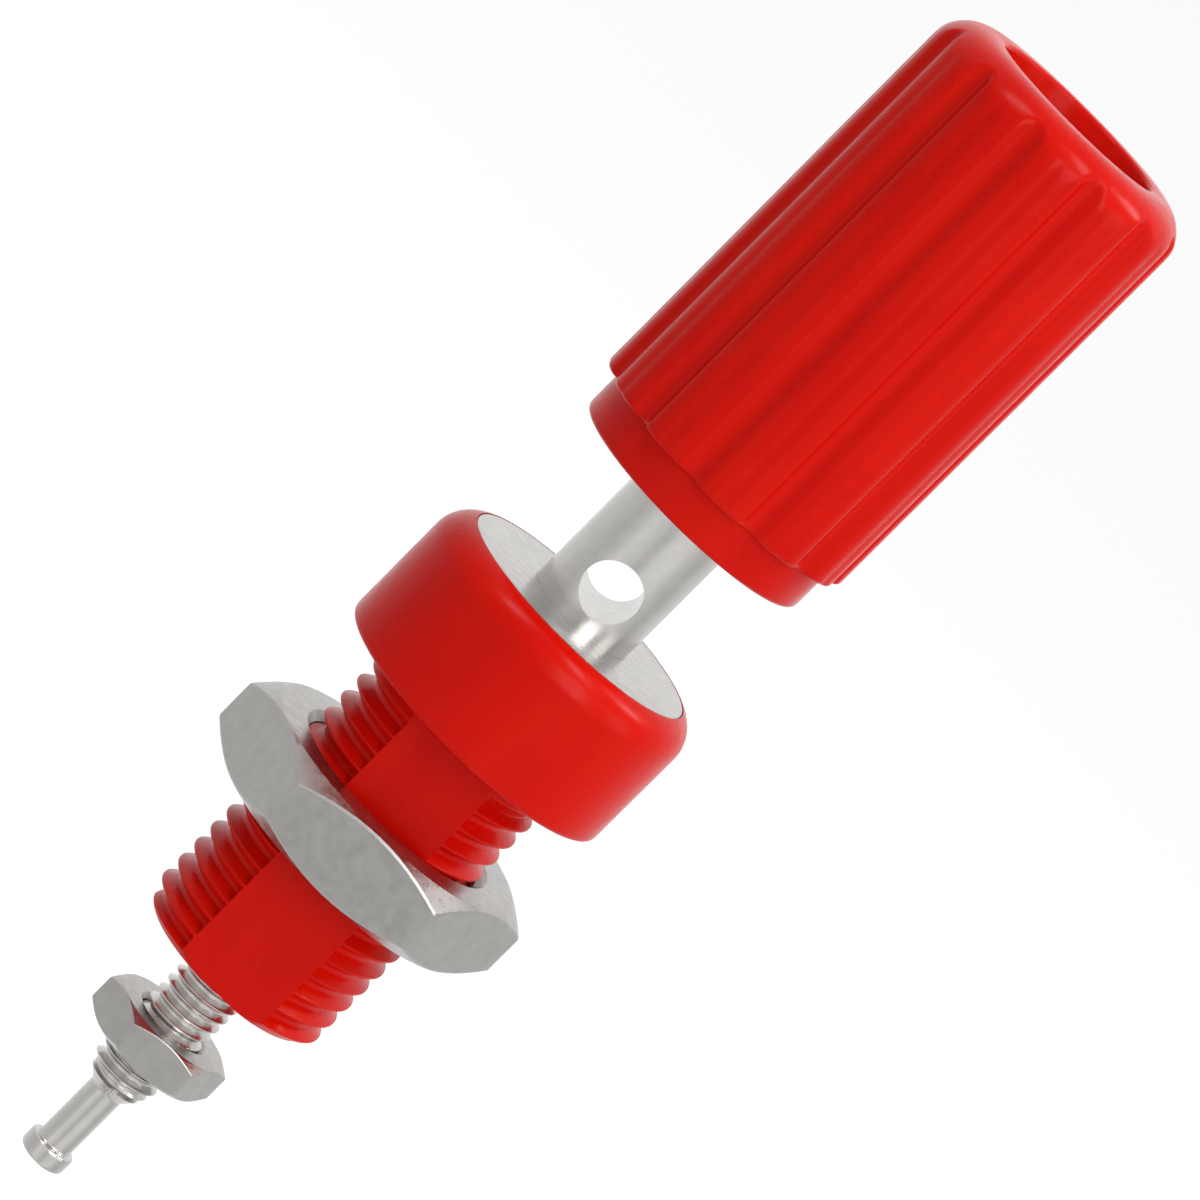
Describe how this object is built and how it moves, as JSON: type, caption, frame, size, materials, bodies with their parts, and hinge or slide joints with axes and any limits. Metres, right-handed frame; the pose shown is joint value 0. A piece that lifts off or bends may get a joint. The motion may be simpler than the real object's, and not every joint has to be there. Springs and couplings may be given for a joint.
{
  "type": "binding post",
  "caption": "Insulated panel binding post with a plug socket, a cross-drilled stem under a screw-down ribbed knob, a threaded barrel with a hex nut, and a threaded rear stud with a solder pin.",
  "frame": {"origin": "on the axis, in the plane where the collar rests on the front of the panel", "axes": "+Z along the axis, out of the panel towards the knob; -Y is the side with the barrel's flat"},
  "size_m": [0.0196, 0.0174, 0.0784],
  "materials": {
    "red_plastic": "glossy moulded red",
    "nickel": "bright nickel plate on turned brass"
  },
  "bodies": {
    "base": {"bush": "red_plastic", "clamp_disc": "nickel", "post": "nickel"},
    "insert": {"knob_insert": "nickel"},
    "knob": {"knob_cap": "red_plastic"},
    "large_nut": {"panel_nut": "nickel"},
    "small_nut": {"rear_nut": "nickel"}
  },
  "joints": [
    {"name": "knob_travel", "type": "slide", "parent": "base", "child": "insert", "axis": [0, 0, 1], "range_m": [-0.00815, 0]},
    {"name": "knob_turn", "type": "hinge", "parent": "insert", "child": "knob", "pos_m": [0, 0, 0.0306], "axis": [0, 0, 1], "range_deg": [-3912, 0]},
    {"name": "panel_nut_travel", "type": "slide", "parent": "base", "child": "large_nut", "axis": [0, 0, 1], "range_m": [-0.0086, 0.0057]},
    {"name": "rear_nut_travel", "type": "slide", "parent": "base", "child": "small_nut", "axis": [0, 0, 1], "range_m": [-0.00225, 0.00425]}
  ],
  "couplings": [
    {"joint": "knob_travel", "follows": "knob_turn", "m_per_rad": 0.00011937}
  ]
}
